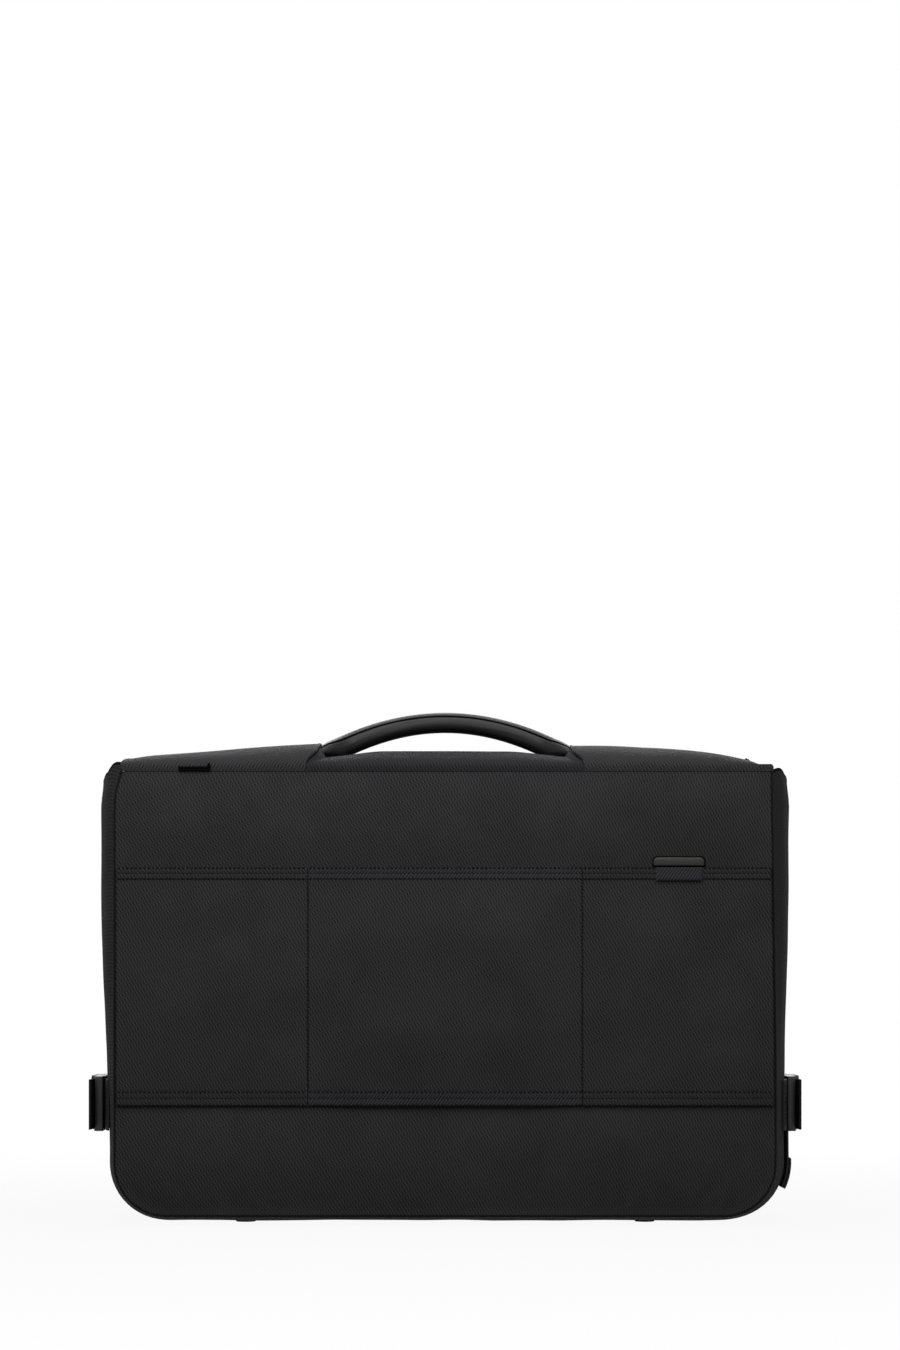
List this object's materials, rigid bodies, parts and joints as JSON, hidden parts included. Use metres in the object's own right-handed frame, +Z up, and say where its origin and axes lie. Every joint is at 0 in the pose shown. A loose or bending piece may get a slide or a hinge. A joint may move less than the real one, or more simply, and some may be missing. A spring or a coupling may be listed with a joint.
{
  "type": "garment bag",
  "caption": "Soft folding garment bag: two pouch sections hung from a domed spine with a carry handle, closed by side buckles, with a trolley sleeve on the rear face.",
  "frame": {"origin": "centre of the footprint on the floor, under the closed bag standing on its feet", "axes": "+X along the width, to the right when facing the rear panel; +Y through the depth, from the rear panel to the front pocket; +Z up"},
  "size_m": [0.5464, 0.2166, 0.3905],
  "materials": {
    "twill": "black dobby-woven polyester, matt",
    "weave": "black fine-woven polyester, slightly smoother",
    "webbing": "black ribbed webbing",
    "piping": "black bound piping",
    "lining": "grey smooth lining",
    "board": "polyethylene sheet",
    "acetal": "black moulded acetal",
    "badge": "dark olive-grey moulded plastic, bare",
    "steel": "dark plated steel",
    "rubber": "black moulded rubber"
  },
  "bodies": {
    "rear_section": {"rear_panel": "twill", "rear_gusset": "twill", "rear_piping": "piping", "rear_stiffener_board": "board", "rear_inner_cover": "lining", "rear_foot_left": "rubber", "rear_foot_right": "rubber", "belt_panel_left": "twill", "belt_panel_right": "twill", "upper_belt_band_left": "webbing", "upper_belt_band_right": "webbing", "lower_belt_band_left": "webbing", "lower_belt_band_right": "webbing", "trolley_sleeve": "twill", "sleeve_hem_top": "webbing", "sleeve_hem_bottom": "webbing", "badge_plate": "badge", "badge_tab": "webbing", "rear_strap_left": "webbing", "rear_strap_right": "webbing", "strap_tail_right": "webbing", "male_buckle_left": "acetal", "male_buckle_right": "acetal"},
    "spine": {"spine_panel_left": "weave", "spine_panel_right": "weave", "handle_well": "weave", "spine_end_flap_right": "weave", "spine_end_flap_left": "weave", "hook_slit_binding": "webbing", "strap_tab_right": "webbing", "roll_bar": "board", "roll_bar_bracket_left": "acetal", "roll_bar_bracket_right": "acetal", "handle_anchor_left": "acetal", "handle_anchor_right": "acetal"},
    "handle": {"handle_core": "steel", "handle_grip": "twill"},
    "front_section": {"front_panel": "twill", "front_gusset": "twill", "front_piping": "piping", "front_stiffener_board": "board", "front_inner_cover": "lining", "front_foot_left": "rubber", "front_foot_right": "rubber", "front_pocket": "twill", "zip_tape_lower": "webbing", "zip_tape_upper": "webbing", "zip_coil": "acetal", "front_strap_left": "webbing", "front_strap_right": "webbing", "female_buckle_left": "acetal", "female_buckle_right": "acetal", "hanger_clamp_base": "acetal"},
    "zip_slider": {"zip_slider": "steel"},
    "zip_pull": {"zip_pull": "steel"},
    "hanger_lever": {"hanger_clamp_lever": "acetal"},
    "prong_left_upper": {"buckle_prong_left_upper": "acetal"},
    "prong_left_lower": {"buckle_prong_left_lower": "acetal"},
    "prong_right_upper": {"buckle_prong_right_upper": "acetal"},
    "prong_right_lower": {"buckle_prong_right_lower": "acetal"}
  },
  "joints": [
    {"name": "fold_spine", "type": "hinge", "parent": "rear_section", "child": "spine", "pos_m": [0, -0.1, 0.34], "axis": [1, 0, 0], "range_deg": [0, 90], "deforming": ["buckle_prong_left_upper", "buckle_prong_left_lower", "buckle_prong_right_upper", "buckle_prong_right_lower"]},
    {"name": "fold_front", "type": "hinge", "parent": "spine", "child": "front_section", "pos_m": [0, 0.1, 0.34], "axis": [1, 0, 0], "range_deg": [0, 90]},
    {"name": "handle_tilt", "type": "hinge", "parent": "spine", "child": "handle", "pos_m": [0, 0, 0.35745], "axis": [1, 0, 0], "range_deg": [-40, 40]},
    {"name": "zip_slide", "type": "slide", "parent": "front_section", "child": "zip_slider", "axis": [1, 0, 0], "range_m": [0, 0.388]},
    {"name": "zip_pull_swing", "type": "hinge", "parent": "zip_slider", "child": "zip_pull", "pos_m": [-0.194, 0.10765, 0.292], "axis": [1, 0, 0], "range_deg": [0, 120]},
    {"name": "hanger_lever_swing", "type": "hinge", "parent": "front_section", "child": "hanger_lever", "pos_m": [0, 0.0854, 0.069], "axis": [-1, 0, 0], "range_deg": [0, 80]},
    {"name": "press_left_upper", "type": "hinge", "parent": "rear_section", "child": "prong_left_upper", "pos_m": [-0.26715, -0.008, 0.1027], "axis": [-1, 0, 0], "range_deg": [0, 12], "stiffness_Nm_per_rad": 0.8},
    {"name": "press_left_lower", "type": "hinge", "parent": "rear_section", "child": "prong_left_lower", "pos_m": [-0.26715, -0.008, 0.0763], "axis": [1, 0, 0], "range_deg": [0, 12], "stiffness_Nm_per_rad": 0.8},
    {"name": "press_right_upper", "type": "hinge", "parent": "rear_section", "child": "prong_right_upper", "pos_m": [0.26715, -0.008, 0.1027], "axis": [-1, 0, 0], "range_deg": [0, 12], "stiffness_Nm_per_rad": 0.8},
    {"name": "press_right_lower", "type": "hinge", "parent": "rear_section", "child": "prong_right_lower", "pos_m": [0.26715, -0.008, 0.0763], "axis": [1, 0, 0], "range_deg": [0, 12], "stiffness_Nm_per_rad": 0.8}
  ],
  "couplings": [
    {"joint": "fold_front", "follows": "fold_spine", "ratio": 1},
    {"joint": "press_left_lower", "follows": "press_left_upper", "ratio": 1},
    {"joint": "press_right_lower", "follows": "press_right_upper", "ratio": 1}
  ]
}
